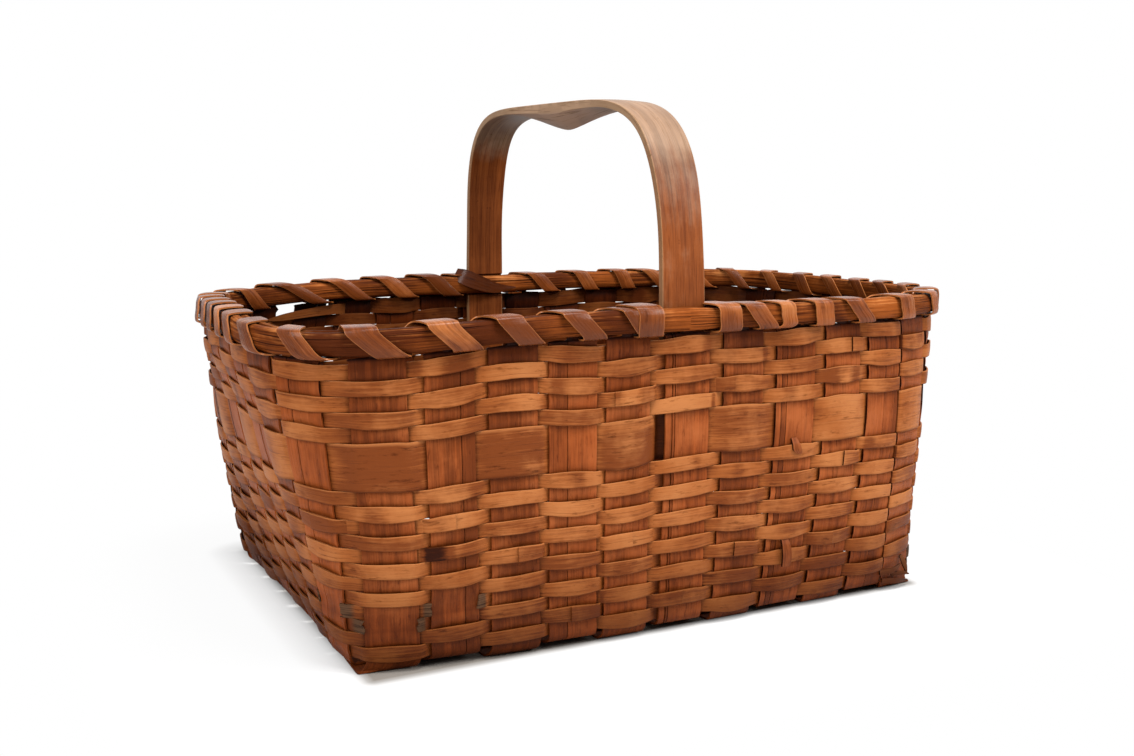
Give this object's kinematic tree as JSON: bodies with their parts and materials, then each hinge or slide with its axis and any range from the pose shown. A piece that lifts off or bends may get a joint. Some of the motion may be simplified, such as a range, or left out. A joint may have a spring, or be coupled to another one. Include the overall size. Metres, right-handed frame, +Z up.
{
  "type": "gathering basket",
  "caption": "Open rectangular basket of woven wood splints with rounded corners, a lashed double-hoop rim and a fixed bent strap handle across the middle.",
  "frame": {"origin": "centre of the underside of the bottom mat, on the plane the basket stands on", "axes": "+Z up, +X along the basket's length, +Y across it towards the back; the handle spans Y at X = 0"},
  "size_m": [0.4762, 0.3102, 0.3155],
  "materials": {
    "stake": "aged bare splint, satin",
    "weaver": "aged bare splint, satin",
    "hoop": "dark worn wood, satin",
    "lashing": "aged splint, slight sheen",
    "handle": "hand-worn wood, satin"
  },
  "bodies": {
    "root": {"cross_stake_01": "stake", "cross_stake_02": "stake", "cross_stake_03": "stake", "cross_stake_04": "stake", "cross_stake_05": "stake", "cross_stake_06": "stake", "cross_stake_07": "stake", "cross_stake_08": "stake", "cross_stake_09": "stake", "cross_stake_10": "stake", "cross_stake_11": "stake", "length_stake_01": "stake", "length_stake_02": "stake", "length_stake_03": "stake", "length_stake_04": "stake", "length_stake_05": "stake", "length_stake_06": "stake", "length_stake_07": "stake", "length_stake_08": "stake", "weaver_01": "weaver", "weaver_02": "weaver", "weaver_03": "weaver", "weaver_04": "weaver", "weaver_05": "weaver", "weaver_06": "weaver", "weaver_07": "weaver", "weaver_08": "weaver", "weaver_09": "weaver", "weaver_10": "weaver", "weaver_11": "weaver", "weaver_12": "weaver", "wide_weaver": "weaver", "weaver_14": "weaver", "weaver_15": "weaver", "weaver_16": "weaver", "weaver_17": "weaver", "weaver_18": "weaver", "outer_hoop": "hoop", "inner_hoop": "hoop", "left_lashing": "lashing", "right_lashing": "lashing", "handle": "handle"}
  },
  "joints": []
}
